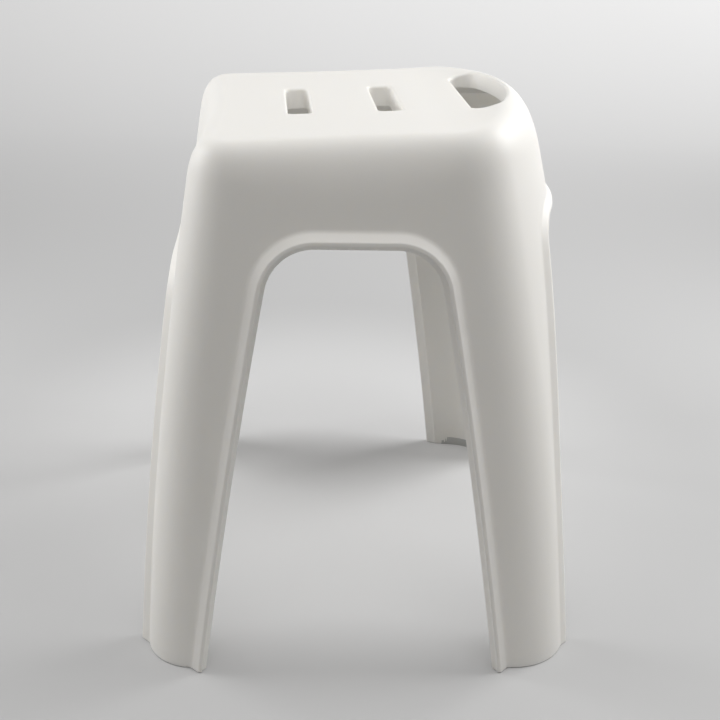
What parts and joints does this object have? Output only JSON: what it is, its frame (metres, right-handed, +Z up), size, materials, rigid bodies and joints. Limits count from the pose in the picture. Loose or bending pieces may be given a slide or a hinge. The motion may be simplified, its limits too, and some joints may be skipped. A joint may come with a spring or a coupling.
{
  "type": "shower stool",
  "caption": "Tall white moulded bath stool with a gently sloped seat, drain slots, a rear hand hole, splayed hollow legs, lipped arches and soft anti-slip soles.",
  "frame": {"origin": "on the floor, under the middle of the stool's bounding box", "axes": "+X to the rear of the seat where the hand hole is, +Y to the sitter's right, +Z up"},
  "size_m": [0.3425, 0.3848, 0.4196],
  "materials": {
    "body_plastic": "satin moulded polypropylene",
    "sole_rubber": "matt soft elastomer"
  },
  "bodies": {
    "root": {"stool_body": "body_plastic", "foot_sole_front_left": "sole_rubber", "foot_sole_front_right": "sole_rubber", "foot_sole_rear_left": "sole_rubber", "foot_sole_rear_right": "sole_rubber"}
  },
  "joints": []
}
